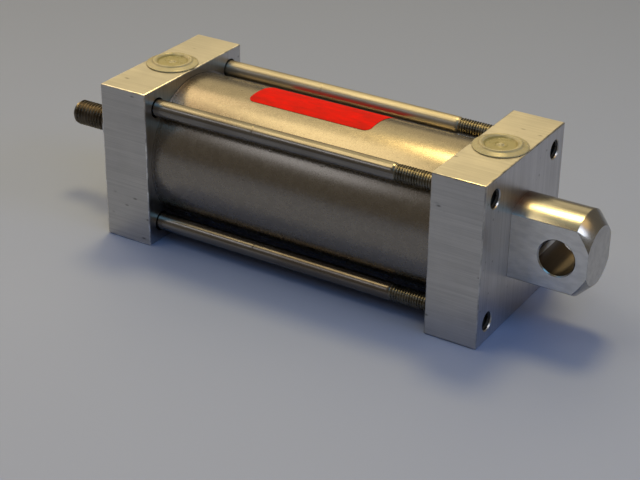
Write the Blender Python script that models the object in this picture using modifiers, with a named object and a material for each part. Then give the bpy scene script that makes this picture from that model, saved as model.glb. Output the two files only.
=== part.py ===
"""Square-head tie-bolt pneumatic cylinder with a 63 mm bore and a 100 mm stroke.

The cylinder's axis runs along X, at half the height of its two square heads.
Sizes are in millimetres. A station is a distance along X from the outer face
of the front head, and a radius is a distance from the axis of a turned shape.
The rod leaves the front head towards -X and the fixed eye stands at the +X end.
"""
import math

import bmesh
import bpy
from mathutils import Vector

MM = 0.001

# Heads and barrel tube
HEAD_SIDE = 75.0
HEAD_THICK = 24.5
HEAD_GAP = 143.0
HEAD_CHAMFER = 0.4
BORE_RADIUS = 31.5
TUBE_RADIUS = 34.0
SPIGOT_RADIUS = 31.2
SPIGOT_LENGTH = 6.5
TUBE_SEAT_RADIUS = 35.4
TUBE_SEAT_DEPTH = 1.0

# Rubber rings on each head's spigot; distances along X from the head's inner face
TUBE_SEAL_GROOVE = (2.4, 5.2)
TUBE_SEAL_FLOOR_RADIUS = 29.2
TUBE_SEAL_RADIUS = 30.35
TUBE_SEAL_SECTION = 1.0
BUMPER_INNER = 15.3
BUMPER_OUTER = 20.0
BUMPER_DEPTH = 1.4
BUMPER_STANDOUT = 1.5
BUMPER_GAP = 0.2

# Gaps: between faces that meet, and between round pieces held in holes
FACE_GAP = 0.25
HOLD_GAP = 0.15
RUN_GAP = 0.08
SEAL_GAP = 0.1
TURN_GAP = 0.3
# How far a cutter runs past the face it cuts
OVERRUN = 2.0

# Tie bolts, M8 socket head screws from the front head into the rear head
BOLT_PITCH = 56.5
BOLT_RADIUS = 4.0
BOLT_THREAD_RADIUS = 3.9
BOLT_LENGTH = 175.0
BOLT_THREAD_LENGTH = 36.0
BOLT_HEAD_RADIUS = 6.5
BOLT_HEAD_HEIGHT = 8.0
BOLT_HEAD_CHAMFER = 0.6
BOLT_TIP_CHAMFER = 1.0
BOLT_THREAD_RUNOUT = 0.5
BOLT_SOCKET_WIDTH = 6.0
BOLT_SOCKET_DEPTH = 4.0
BOLT_HOLE_RADIUS = 4.5
COUNTERBORE_RADIUS = 7.9
COUNTERBORE_DEPTH = 10.5
WASHER_RADIUS = 7.5
WASHER_THICK = 1.6
TAPPED_HOLE_RADIUS = 4.15

# Air ports on top of both heads, and the passages into the chambers
PORT_RADIUS = 5.9
PORT_DEPTH = 17.0
PASSAGE_RADIUS = 3.0
PASSAGE_RISE = 24.0

# Port plugs: flange with a raised ring round a dished middle, on a hollow stem
PLUG_FLANGE_RADIUS = 12.0
PLUG_HEIGHT = 2.0
PLUG_STEM_RADIUS = 5.6
PLUG_STEM_LENGTH = 9.0
PLUG_STEM_CHAMFER = 1.0
PLUG_RING = (8.2, 9.4)
PLUG_RING_SLOPE = 1.0
PLUG_RIM_HEIGHT = 1.0
PLUG_RIM_CHAMFER = 0.5
PLUG_DISH_HEIGHT = 0.85
PLUG_BUMP_RADIUS = 2.0
PLUG_BUMP_HEIGHT = 1.1
PLUG_CORE_RADIUS = 4.2
PLUG_UNDERCUT = 0.2

# Piston rod, with an M12 stud in front and an M12 end through the piston
ROD_RADIUS = 9.0
STUD_RADIUS = 6.0
STUD_TIP_STATION = -45.5
ROD_SHOULDER_STATION = -24.75
ROD_CHAMFER = 0.7
STUD_CHAMFER = 1.7
REAR_STUD_RADIUS = 5.9
REAR_STUD_CHAMFER = 1.0
WRENCH_FLAT_START = 2.0
WRENCH_FLAT_WIDTH = 15.0
WRENCH_FLAT_LENGTH = 8.0

# Piston and the nut behind it
PISTON_RADIUS = 31.2
PISTON_LENGTH = 26.5
PISTON_CHAMFER = 0.8
PISTON_LAND = 2.5
PISTON_BORE_GROOVE = (2.4, 1.9)
PISTON_O_RING_SECTION = 0.8
SEAL_WIDTH = 5.0
SEAL_SLACK = 0.15
SEAL_FLOOR_RADIUS = 26.5
SEAL_LIP = 0.4
SEAL_NOTCH_DEPTH = 2.5
WALL_GAP = 0.12
GUIDE_WIDTH = 7.0
GUIDE_FLOOR_RADIUS = 29.3
NUT_WIDTH = 19.0
NUT_THICK = 7.0
PISTON_WASHER_RADIUS = 12.0
PISTON_WASHER_THICK = 2.0

# Rod gland, screwed into the front head
GLAND_SEAT_RADIUS = 17.0
GLAND_SEAT_DEPTH = 16.0
GLAND_BOSS_RADIUS = 15.0
GLAND_BOSS_LENGTH = 9.0
GLAND_CHAMFER = 1.0
GLAND_STEP = 0.3
GLAND_FLAT_WIDTH = 27.0
GLAND_FLAT_END = -3.0
GLAND_GROOVE = (10.0, 12.4)
GLAND_GROOVE_DEPTH = 1.8
GLAND_O_RING_SECTION = 0.8
WIPER_SEAT_DEPTH = 4.2
WIPER_LENGTH = 3.7
WIPER_LIP = 1.2
SEAL_SEAT_STATION = 9.6
SEAL_SEAT_GAP = 0.3
ROD_SEAL_NOTCH_DEPTH = 3.0
BUSH_RADIUS = 11.0
LIP_SEAT_RADIUS = 12.8

# Rear eye, a round bar with two milled flats and a cross hole
EYE_RADIUS = 18.75
EYE_THICK = 23.5
EYE_LENGTH = 35.0
EYE_NOSE = 5.75
EYE_HOLE_RADIUS = 8.0
EYE_HOLE_STATION = 21.25
EYE_SCREW_RADIUS = 5.0
EYE_SCREW_HEAD_RADIUS = 8.0
EYE_SCREW_HEAD_HEIGHT = 10.0
EYE_SCREW_LENGTH = 20.0
EYE_SCREW_CHAMFER = 1.0
EYE_SCREW_SOCKET_WIDTH = 8.0
EYE_SCREW_SOCKET_DEPTH = 5.0
EYE_SCREW_CLEARANCE = 0.3
EYE_SCREW_TIP_GAP = 0.6
EYE_SCREW_HEAD_CLEARANCE = 0.7
EYE_HOLE_CHAMFER = 0.5
EYE_FACE_GAP = 0.02
DOWEL_RADIUS = 2.0
DOWEL_LENGTH = 11.0
DOWEL_HOLE_DEPTH = 6.0
DOWEL_DROP = 12.0

# Label on the upper side of the tube
LABEL_START, LABEL_END = 59.4, 121.8
LABEL_LOW_ANGLE, LABEL_HIGH_ANGLE = 104.2, 52.0
LABEL_THICK = 0.2
LABEL_CORNER = 3.0
LABEL_LIFT = 0.05
LABEL_ROWS = 16

# Stations and heights that follow from the sizes above
AXIS_HEIGHT = HEAD_SIDE / 2
INNER_FRONT = HEAD_THICK
INNER_REAR = HEAD_THICK + HEAD_GAP
OUTER_REAR = INNER_REAR + HEAD_THICK
MIDDLE = (STUD_TIP_STATION + OUTER_REAR + EYE_LENGTH) / 2
CHAMBER_FRONT = INNER_FRONT + SPIGOT_LENGTH
CHAMBER_REAR = INNER_REAR - SPIGOT_LENGTH
PISTON_REAR = CHAMBER_REAR - BUMPER_STANDOUT - FACE_GAP
PISTON_FRONT = PISTON_REAR - PISTON_LENGTH
NUT_RECESS_RADIUS = 14.5
NUT_RECESS_END = CHAMBER_REAR + 11.0
ROD_END = NUT_RECESS_END - 1.5
EYE_SCREW_SEAT = NUT_RECESS_END + 10.5
BOLT_UNDERHEAD = COUNTERBORE_DEPTH - 2 * FACE_GAP - WASHER_THICK
BOLT_END = BOLT_UNDERHEAD + BOLT_LENGTH

FINE, ROUND, COARSE, HEXAGON = 48, 32, 16, 6
# Each turned cutter starts a little further round than the last, so that no two
# cutters' facets line up
CUTTER_PHASE = 0.013


def start():
    """Empty the scene and make one collection for the parts and one for cutters."""
    for old in list(bpy.data.objects):
        bpy.data.objects.remove(old, do_unlink=True)
    made = []
    for name in ("pneumatic_cylinder", "cutters"):
        collection = bpy.data.collections.new(name)
        bpy.context.scene.collection.children.link(collection)
        made.append(collection)
    return made


PARTS, CUTTERS = start()


def material(name, colour, metallic, roughness):
    made = bpy.data.materials.new(name)
    made.use_nodes = True
    shader = made.node_tree.nodes["Principled BSDF"]
    shader.inputs["Base Color"].default_value = (*colour, 1.0)
    shader.inputs["Metallic"].default_value = metallic
    shader.inputs["Roughness"].default_value = roughness
    return made


# Name of each finish: colour, metallic value, roughness
FINISHES = {
    "milled_aluminium": ((0.68, 0.68, 0.67), 1.0, 0.42),
    "tube_aluminium": ((0.60, 0.59, 0.57), 1.0, 0.38),
    "bright_steel": ((0.62, 0.61, 0.59), 1.0, 0.20),
    "black_steel": ((0.07, 0.065, 0.06), 1.0, 0.45),
    "polished_eye": ((0.66, 0.65, 0.63), 1.0, 0.22),
    "chromed_rod": ((0.75, 0.75, 0.76), 1.0, 0.08),
    "seal_rubber": ((0.02, 0.02, 0.02), 0.0, 0.60),
    "guide_plastic": ((0.20, 0.13, 0.06), 0.0, 0.50),
    "bronze_bush": ((0.55, 0.36, 0.16), 1.0, 0.35),
    "port_plug_plastic": ((0.72, 0.63, 0.30), 0.0, 0.35),
    "red_label": ((0.80, 0.03, 0.01), 0.0, 0.45),
}
MATERIALS = {name: material(name, *values) for name, values in FINISHES.items()}


def link(thing, finish):
    """Put a piece with the parts, or with the cutters when it has no finish."""
    if finish is None:
        CUTTERS.objects.link(thing)
        thing.hide_render = True
        thing.display_type = "WIRE"
        return thing
    PARTS.objects.link(thing)
    thing.data.materials.append(MATERIALS[finish])
    return thing


def place(thing, along, y, z):
    """Set a piece on the point (y, z) off the axis, its own Z turned to `along`."""
    thing.location = Vector((-MIDDLE, y, AXIS_HEIGHT + z)) * MM
    if along == "X":
        thing.rotation_euler = (0.0, math.pi / 2, 0.0)


def turned(name, outline, finish=None, segments=ROUND, closed=False, y=0.0, z=0.0):
    """A shape turned about X from (radius, station) points, top to bottom outside."""
    mesh = bpy.data.meshes.new(name)
    phase = CUTTER_PHASE * len(CUTTERS.objects) if finish is None else 0.0
    across, aside = MM * math.cos(phase), MM * math.sin(phase)
    points = [(radius * across, radius * aside, station * MM) for radius, station in outline]
    pairs = [(i, i + 1) for i in range(len(points) - 1)]
    if closed:
        pairs.append((len(points) - 1, 0))
    mesh.from_pydata(points, pairs, [])
    thing = link(bpy.data.objects.new(name, mesh), finish)
    place(thing, "X", y, z)
    screw(thing, segments)
    return thing


def screw(thing, segments):
    sweep = thing.modifiers.new("turn", "SCREW")
    sweep.steps = sweep.render_steps = segments
    sweep.use_merge_vertices = True
    sweep.merge_threshold = 0.00001


def rod(name, outline, finish=None, segments=ROUND, y=0.0, z=0.0):
    """A solid turned piece: the outline is closed on the axis at both ends."""
    (_, first), (_, last) = outline[0], outline[-1]
    points = [(0.0, last)] + outline[::-1] + [(0.0, first)]
    return turned(name, points, finish, segments, y=y, z=z)


def ring(name, outer, inner, finish=None, segments=ROUND, y=0.0, z=0.0):
    """A hollow turned piece, from its outer and its inner outline."""
    return turned(name, outer[::-1] + inner, finish, segments, True, y, z)


def o_ring(name, centre_radius, station, section, sides=6):
    """A ring of round rubber cord."""
    angles = [math.tau * (i + 0.5) / sides for i in range(sides)]
    points = [(centre_radius + section * math.cos(a), station - section * math.sin(a))
              for a in angles]
    return turned(name, points, "seal_rubber", ROUND, True)


def upright(name, outline, station, finish=None, segments=COARSE):
    """A shape turned about a vertical line: (radius, height above the head) points."""
    mesh = bpy.data.meshes.new(name)
    points = [(radius * MM, 0.0, height * MM) for radius, height in outline]
    mesh.from_pydata(points, [(i, i + 1) for i in range(len(points) - 1)], [])
    thing = link(bpy.data.objects.new(name, mesh), finish)
    thing.location = Vector((station - MIDDLE, 0.0, HEAD_SIDE)) * MM
    screw(thing, segments)
    return thing


def block(name, low, high, finish=None):
    """A box between two corners, each (station, y, height above the floor)."""
    mesh = bpy.data.meshes.new(name)
    shape = bmesh.new()
    bmesh.ops.create_cube(shape, size=1.0)
    size = [(b - a) * MM for a, b in zip(low, high)]
    bmesh.ops.scale(shape, vec=size, verts=shape.verts)
    shape.to_mesh(mesh)
    shape.free()
    thing = link(bpy.data.objects.new(name, mesh), finish)
    centre = [(a + b) / 2 for a, b in zip(low, high)]
    thing.location = Vector((centre[0] - MIDDLE, centre[1], centre[2])) * MM
    return thing


def chamfer(thing, width):
    edge = thing.modifiers.new("chamfer", "BEVEL")
    edge.width = width * MM
    edge.segments = 1


def boolean(thing, tool, operation):
    change = thing.modifiers.new(operation.lower(), "BOOLEAN")
    change.operation = operation
    change.object = tool
    change.solver = "EXACT"


def cut(thing, *tools):
    for tool in tools:
        boolean(thing, tool, "DIFFERENCE")


def bolt_places():
    """The four tie bolts' (y, z) places, numbered from the upper near one."""
    half = BOLT_PITCH / 2
    return [(-half, half), (half, half), (half, -half), (-half, -half)]


def socket(name, width, start, depth, y=0.0, z=0.0):
    """A hexagonal cutter for a screw's socket or outline."""
    corner = width / math.sqrt(3)
    return rod(name, [(corner, start), (corner, start + depth)], None, HEXAGON, y, z)


def port_tools(name, station, chamber):
    """The threaded port from the top face, and its passage into the chamber."""
    hole = upright(name + "_port_cut",
                   [(0, OVERRUN), (PORT_RADIUS, OVERRUN), (PORT_RADIUS, -PORT_DEPTH),
                    (0, -PORT_DEPTH)], station)
    ends = sorted((station, chamber + math.copysign(OVERRUN, chamber - station)))
    passage = rod(name + "_passage_cut", [(PASSAGE_RADIUS, ends[0]), (PASSAGE_RADIUS, ends[1])],
                  None, COARSE, z=PASSAGE_RISE)
    return hole, passage


def tube_side_tools(name, face, inward):
    """The tube's seat and the two grooves of a head; inward is +1 or -1 along X."""
    def span(a, b):
        return sorted((face + inward * a, face + inward * b))

    seat = rod(name + "_seat_cut",
               [(TUBE_SEAT_RADIUS, s) for s in span(-TUBE_SEAT_DEPTH, OVERRUN)], None, ROUND)
    spigot = rod(name + "_spigot",
                 [(SPIGOT_RADIUS, s) for s in span(-2 * OVERRUN, SPIGOT_LENGTH)], None, ROUND)
    seal = span(*TUBE_SEAL_GROOVE)
    seal_groove = ring(name + "_seal_groove_cut", [(SPIGOT_RADIUS + OVERRUN, s) for s in seal],
                       [(TUBE_SEAL_FLOOR_RADIUS, s) for s in seal], None, ROUND)
    bump = span(SPIGOT_LENGTH - BUMPER_STANDOUT, SPIGOT_LENGTH + OVERRUN)
    bumper_groove = ring(name + "_bumper_groove_cut",
                         [(BUMPER_OUTER + BUMPER_GAP, s) for s in bump],
                         [(BUMPER_INNER - BUMPER_GAP, s) for s in bump], None, ROUND)
    return seat, spigot, seal_groove, bumper_groove


def head(name, start, face, inward, bore, bolt_outline):
    """One square head: block, tube spigot, bore along the axis, port and bolt holes."""
    half = HEAD_SIDE / 2
    thing = block(name, (start, -half, 0), (start + HEAD_THICK, half, HEAD_SIDE),
                  "milled_aluminium")
    chamfer(thing, HEAD_CHAMFER)
    seat, spigot, seal_groove, bumper_groove = tube_side_tools(name, face, inward)
    cut(thing, seat)
    boolean(thing, spigot, "UNION")
    cut(thing, seal_groove, bumper_groove, rod(name + "_bore_cut", bore, None, ROUND))
    cut(thing, *port_tools(name, start + HEAD_THICK / 2, face + inward * SPIGOT_LENGTH))
    for number, (y, z) in enumerate(bolt_places(), 1):
        cut(thing, rod(f"{name}_bolt_cut_{number}", bolt_outline, None, COARSE, y, z))
    return thing


def front_head():
    bore = [(GLAND_SEAT_RADIUS, -OVERRUN), (GLAND_SEAT_RADIUS, GLAND_SEAT_DEPTH),
            (BUSH_RADIUS, GLAND_SEAT_DEPTH), (BUSH_RADIUS, CHAMBER_FRONT + OVERRUN)]
    bolt = [(COUNTERBORE_RADIUS, -OVERRUN), (COUNTERBORE_RADIUS, COUNTERBORE_DEPTH),
            (BOLT_HOLE_RADIUS, COUNTERBORE_DEPTH), (BOLT_HOLE_RADIUS, INNER_FRONT + OVERRUN)]
    head("front_head", 0.0, INNER_FRONT, 1, bore, bolt)


def rear_head():
    screw_hole = EYE_SCREW_RADIUS + EYE_SCREW_CLEARANCE
    screw_head = EYE_SCREW_HEAD_RADIUS + EYE_SCREW_HEAD_CLEARANCE
    bore = [(NUT_RECESS_RADIUS, CHAMBER_REAR - OVERRUN), (NUT_RECESS_RADIUS, NUT_RECESS_END),
            (screw_head, NUT_RECESS_END), (screw_head, EYE_SCREW_SEAT),
            (screw_hole, EYE_SCREW_SEAT), (screw_hole, OUTER_REAR + OVERRUN)]
    bolt = [(TAPPED_HOLE_RADIUS, INNER_REAR - OVERRUN), (TAPPED_HOLE_RADIUS, OUTER_REAR + OVERRUN)]
    thing = head("rear_head", INNER_REAR, INNER_REAR, -1, bore, bolt)
    radius = DOWEL_RADIUS + HOLD_GAP
    cut(thing, rod("rear_head_dowel_cut",
                   [(radius, OUTER_REAR - DOWEL_HOLE_DEPTH), (radius, OUTER_REAR + OVERRUN)],
                   None, COARSE, z=-DOWEL_DROP))


def barrel_tube():
    reach = TUBE_SEAT_DEPTH - FACE_GAP
    ends = (INNER_FRONT - reach, INNER_REAR + reach)
    ring("barrel_tube", [(TUBE_RADIUS, s) for s in ends], [(BORE_RADIUS, s) for s in ends],
         "tube_aluminium", FINE)


def tie_bolts():
    top = BOLT_UNDERHEAD - BOLT_HEAD_HEIGHT
    thread = BOLT_END - BOLT_THREAD_LENGTH
    outline = [(BOLT_HEAD_RADIUS - BOLT_HEAD_CHAMFER, top),
               (BOLT_HEAD_RADIUS, top + BOLT_HEAD_CHAMFER),
               (BOLT_HEAD_RADIUS, BOLT_UNDERHEAD), (BOLT_RADIUS, BOLT_UNDERHEAD),
               (BOLT_RADIUS, thread), (BOLT_THREAD_RADIUS, thread + BOLT_THREAD_RUNOUT),
               (BOLT_THREAD_RADIUS, BOLT_END - BOLT_TIP_CHAMFER),
               (BOLT_THREAD_RADIUS - BOLT_TIP_CHAMFER, BOLT_END)]
    seat = BOLT_UNDERHEAD + FACE_GAP
    for number, (y, z) in enumerate(bolt_places(), 1):
        bolt = rod(f"tie_bolt_{number}", outline, "bright_steel", COARSE, y, z)
        cut(bolt, socket(f"tie_bolt_{number}_socket_cut", BOLT_SOCKET_WIDTH, top - OVERRUN,
                         BOLT_SOCKET_DEPTH + OVERRUN, y, z))
        faces = (seat, seat + WASHER_THICK)
        ring(f"tie_bolt_washer_{number}", [(WASHER_RADIUS, s) for s in faces],
             [(BOLT_RADIUS + HOLD_GAP, s) for s in faces], "bright_steel", COARSE, y, z)


def rod_gland():
    """The screwed gland, hollow for the wiper in front and the rod seal behind."""
    outer = -GLAND_BOSS_LENGTH
    wiper_end = outer + WIPER_SEAT_DEPTH
    end = GLAND_SEAT_DEPTH - FACE_GAP
    body = GLAND_SEAT_RADIUS - HOLD_GAP
    low, high = GLAND_GROOVE
    floor = body - GLAND_GROOVE_DEPTH
    gland = ring(
        "rod_gland",
        [(GLAND_BOSS_RADIUS - GLAND_CHAMFER, outer), (GLAND_BOSS_RADIUS, outer + GLAND_CHAMFER),
         (GLAND_BOSS_RADIUS, GLAND_STEP), (body, GLAND_STEP), (body, low), (floor, low),
         (floor, high), (body, high), (body, end)],
        [(LIP_SEAT_RADIUS, outer), (LIP_SEAT_RADIUS, wiper_end), (BUSH_RADIUS, wiper_end),
         (BUSH_RADIUS, SEAL_SEAT_STATION), (LIP_SEAT_RADIUS, SEAL_SEAT_STATION),
         (LIP_SEAT_RADIUS, end)],
        "milled_aluminium")
    half = GLAND_FLAT_WIDTH / 2
    for side in (-1, 1):
        ys = sorted((side * half, side * (GLAND_BOSS_RADIUS + OVERRUN)))
        cut(gland, block(f"gland_flat_cut_{side}", (outer - OVERRUN, ys[0], 0),
                         (GLAND_FLAT_END, ys[1], HEAD_SIDE)))


def gland_fittings():
    """What the gland holds: O-ring, bronze bush, rod seal and wiper."""
    outer = -GLAND_BOSS_LENGTH
    seat = LIP_SEAT_RADIUS - SEAL_GAP
    centre = GLAND_SEAT_RADIUS - HOLD_GAP - GLAND_GROOVE_DEPTH + SEAL_GAP + GLAND_O_RING_SECTION
    o_ring("gland_o_ring", centre, sum(GLAND_GROOVE) / 2, GLAND_O_RING_SECTION)
    bush = (outer + WIPER_SEAT_DEPTH + HOLD_GAP, SEAL_SEAT_STATION - SEAL_SEAT_GAP)
    ring("rod_bush", [(BUSH_RADIUS - SEAL_GAP, s) for s in bush],
         [(ROD_RADIUS + RUN_GAP, s) for s in bush], "bronze_bush")
    lip_seal("rod_seal", SEAL_SEAT_STATION + SEAL_SEAT_GAP, GLAND_SEAT_DEPTH - 2 * FACE_GAP)
    start = outer + SEAL_SEAT_GAP
    end = start + WIPER_LENGTH
    ring("rod_wiper", [(seat, start), (seat, end)],
         [(ROD_RADIUS + SEAL_GAP, start), (ROD_RADIUS + WIPER_LIP, (start + end) / 2),
          (ROD_RADIUS + TURN_GAP, end)], "seal_rubber")


def lip_seal(name, start, end):
    """A U-shaped rod seal, its lips open towards the chamber."""
    outside = LIP_SEAT_RADIUS - SEAL_GAP
    inside = ROD_RADIUS + SEAL_GAP
    middle = (outside + inside) / 2
    ring(name, [(outside, start), (outside, end), (middle, end - ROD_SEAL_NOTCH_DEPTH)],
         [(inside + TURN_GAP, start), (inside, end)], "seal_rubber")


def head_seals():
    """The O-rings between spigots and tube, and the piston's bumpers."""
    for name, face, inward in (("front", INNER_FRONT, 1), ("rear", INNER_REAR, -1)):
        o_ring(f"tube_seal_{name}", TUBE_SEAL_RADIUS, face + inward * sum(TUBE_SEAL_GROOVE) / 2,
               TUBE_SEAL_SECTION)
        ends = sorted((face + inward * (SPIGOT_LENGTH - BUMPER_DEPTH),
                       face + inward * (SPIGOT_LENGTH + BUMPER_STANDOUT)))
        ring(f"bumper_{name}", [(BUMPER_OUTER, s) for s in ends],
             [(BUMPER_INNER, s) for s in ends], "seal_rubber")


def piston_rod():
    shoulder = PISTON_FRONT - FACE_GAP
    tip = STUD_TIP_STATION
    front = ROD_SHOULDER_STATION
    outline = [(STUD_RADIUS - STUD_CHAMFER, tip), (STUD_RADIUS, tip + STUD_CHAMFER),
               (STUD_RADIUS, front), (ROD_RADIUS - ROD_CHAMFER, front),
               (ROD_RADIUS, front + ROD_CHAMFER), (ROD_RADIUS, shoulder),
               (REAR_STUD_RADIUS, shoulder), (REAR_STUD_RADIUS, ROD_END - REAR_STUD_CHAMFER),
               (REAR_STUD_RADIUS - REAR_STUD_CHAMFER, ROD_END)]
    thing = rod("piston_rod", outline, "chromed_rod")
    start = front + WRENCH_FLAT_START
    half = WRENCH_FLAT_WIDTH / 2
    for side in (-1, 1):
        ys = sorted((side * half, side * (ROD_RADIUS + OVERRUN)))
        cut(thing, block(f"rod_flat_cut_{side}", (start, ys[0], 0),
                         (start + WRENCH_FLAT_LENGTH, ys[1], HEAD_SIDE)))


def piston_grooves():
    """(start, end, floor radius) of the two seal grooves and the guide groove."""
    middle = PISTON_FRONT + PISTON_LENGTH / 2
    reach = PISTON_LENGTH / 2 - PISTON_LAND
    guide = GUIDE_WIDTH / 2
    return [(middle - reach, middle - reach + SEAL_WIDTH, SEAL_FLOOR_RADIUS),
            (middle - guide, middle + guide, GUIDE_FLOOR_RADIUS),
            (middle + reach - SEAL_WIDTH, middle + reach, SEAL_FLOOR_RADIUS)]


def piston():
    hole = STUD_RADIUS + HOLD_GAP
    width, depth = PISTON_BORE_GROOVE
    middle = PISTON_FRONT + PISTON_LENGTH / 2
    groove = (middle - width / 2, middle + width / 2)
    outer = [(PISTON_RADIUS - PISTON_CHAMFER, PISTON_FRONT),
             (PISTON_RADIUS, PISTON_FRONT + PISTON_CHAMFER)]
    for start, end, floor in piston_grooves():
        outer += [(PISTON_RADIUS, start), (floor, start), (floor, end), (PISTON_RADIUS, end)]
    outer += [(PISTON_RADIUS, PISTON_REAR - PISTON_CHAMFER),
              (PISTON_RADIUS - PISTON_CHAMFER, PISTON_REAR)]
    inner = [(hole, PISTON_FRONT), (hole, groove[0]), (hole + depth, groove[0]),
             (hole + depth, groove[1]), (hole, groove[1]), (hole, PISTON_REAR)]
    ring("piston", outer, inner, "milled_aluminium")
    o_ring("piston_o_ring", hole + depth / 2, middle, PISTON_O_RING_SECTION)


def piston_seals():
    """Two U-shaped seals with their lips outwards, and the guide ring between them."""
    front, guide, rear = piston_grooves()
    outside = BORE_RADIUS - WALL_GAP
    inside = SEAL_FLOOR_RADIUS + TURN_GAP
    notch = (outside + inside) / 2
    for name, (start, end, _), lips in (("front", front, -1), ("rear", rear, 1)):
        low, high = start + SEAL_SLACK, end - SEAL_SLACK
        outer = [(outside - SEAL_LIP, low), (outside, high), (notch, high - SEAL_NOTCH_DEPTH)]
        if lips < 0:
            outer = [(notch, low + SEAL_NOTCH_DEPTH), (outside, low), (outside - SEAL_LIP, high)]
        ring(f"piston_seal_{name}", outer, [(inside, low), (inside, high)], "seal_rubber")
    faces = (guide[0] + SEAL_GAP, guide[1] - SEAL_GAP)
    ring("piston_guide_ring", [(BORE_RADIUS - WALL_GAP, s) for s in faces],
         [(GUIDE_FLOOR_RADIUS + SEAL_GAP, s) for s in faces], "guide_plastic", FINE)


def piston_nut():
    hole = STUD_RADIUS + HOLD_GAP
    washer = (PISTON_REAR + FACE_GAP, PISTON_REAR + FACE_GAP + PISTON_WASHER_THICK)
    ring("piston_washer", [(PISTON_WASHER_RADIUS, s) for s in washer],
         [(hole, s) for s in washer], "bright_steel")
    faces = (washer[1] + FACE_GAP, washer[1] + FACE_GAP + NUT_THICK)
    corner = NUT_WIDTH / math.sqrt(3)
    nut = rod("piston_nut", [(corner, faces[0]), (corner, faces[1])], "bright_steel", HEXAGON)
    cut(nut, rod("nut_hole_cut", [(hole, faces[0] - OVERRUN), (hole, faces[1] + OVERRUN)],
                 None, COARSE))


def rear_eye():
    start = OUTER_REAR + EYE_FACE_GAP
    end = OUTER_REAR + EYE_LENGTH
    eye = rod("rear_eye", [(EYE_RADIUS, start), (EYE_RADIUS, end - EYE_NOSE),
                           (EYE_RADIUS - EYE_NOSE, end)], "polished_eye", FINE)
    half = EYE_THICK / 2
    for side in (-1, 1):
        ys = sorted((side * half, side * (EYE_RADIUS + OVERRUN)))
        cut(eye, block(f"eye_flat_cut_{side}", (start - OVERRUN, ys[0], 0),
                       (end + OVERRUN, ys[1], HEAD_SIDE)))
    cut(eye, eye_hole(half))
    tapped = EYE_SCREW_RADIUS + HOLD_GAP
    screw_end = EYE_SCREW_SEAT + EYE_SCREW_LENGTH + EYE_SCREW_TIP_GAP
    cut(eye, rod("eye_tapped_cut", [(tapped, start - OVERRUN), (tapped, screw_end)],
                 None, COARSE))
    dowel = DOWEL_RADIUS + HOLD_GAP
    cut(eye, rod("eye_dowel_cut",
                 [(dowel, start - OVERRUN), (dowel, OUTER_REAR + DOWEL_HOLE_DEPTH)],
                 None, COARSE, z=-DOWEL_DROP))


def eye_hole(half):
    """The cross hole along Y, with a small chamfer at each flat."""
    mouth = EYE_HOLE_RADIUS + EYE_HOLE_CHAMFER + OVERRUN
    reach = half + OVERRUN
    inset = half - EYE_HOLE_CHAMFER
    outline = [(mouth, -reach), (EYE_HOLE_RADIUS, -inset), (EYE_HOLE_RADIUS, inset),
               (mouth, reach)]
    hole = rod("eye_hole_cut", outline, None, ROUND)
    hole.location = Vector((OUTER_REAR + EYE_HOLE_STATION - MIDDLE, 0, AXIS_HEIGHT)) * MM
    hole.rotation_euler = (math.pi / 2, 0, 0)
    return hole


def eye_fixings():
    """The socket screw that holds the eye from inside the head, and its dowel pin."""
    under = EYE_SCREW_SEAT - FACE_GAP
    top = under - EYE_SCREW_HEAD_HEIGHT
    end = under + EYE_SCREW_LENGTH
    screw_part = rod("eye_screw", [
        (EYE_SCREW_HEAD_RADIUS, top), (EYE_SCREW_HEAD_RADIUS, under), (EYE_SCREW_RADIUS, under),
        (EYE_SCREW_RADIUS, end - EYE_SCREW_CHAMFER), (EYE_SCREW_RADIUS - EYE_SCREW_CHAMFER, end)],
        "black_steel", COARSE)
    cut(screw_part, socket("eye_screw_socket_cut", EYE_SCREW_SOCKET_WIDTH, top - OVERRUN,
                           EYE_SCREW_SOCKET_DEPTH + OVERRUN))
    pin = (OUTER_REAR - DOWEL_LENGTH / 2, OUTER_REAR + DOWEL_LENGTH / 2)
    rod("eye_dowel_pin", [(DOWEL_RADIUS, s) for s in pin], "bright_steel", COARSE, z=-DOWEL_DROP)


def port_plugs():
    """Push-in plastic plugs that close the air ports."""
    inner, outer = PLUG_RING
    rim = PLUG_FLANGE_RADIUS
    foot = PLUG_STEM_RADIUS
    outline = [(0, PLUG_BUMP_HEIGHT), (PLUG_BUMP_RADIUS, PLUG_BUMP_HEIGHT),
               (PLUG_BUMP_RADIUS + PLUG_UNDERCUT, PLUG_DISH_HEIGHT),
               (inner - PLUG_RING_SLOPE, PLUG_DISH_HEIGHT), (inner, PLUG_HEIGHT),
               (outer, PLUG_HEIGHT), (rim - PLUG_RIM_CHAMFER, PLUG_RIM_HEIGHT + PLUG_RIM_CHAMFER),
               (rim, PLUG_RIM_HEIGHT), (rim, PLUG_UNDERCUT), (foot, PLUG_UNDERCUT),
               (foot, -PLUG_STEM_LENGTH + PLUG_STEM_CHAMFER),
               (foot - PLUG_STEM_CHAMFER / 2, -PLUG_STEM_LENGTH),
               (PLUG_CORE_RADIUS, -PLUG_STEM_LENGTH), (PLUG_CORE_RADIUS, -PLUG_STEM_CHAMFER),
               (0, -PLUG_STEM_CHAMFER)]
    for name, start in (("front", 0.0), ("rear", INNER_REAR)):
        upright(f"{name}_port_plug", outline, start + HEAD_THICK / 2, "port_plug_plastic", ROUND)


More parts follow.
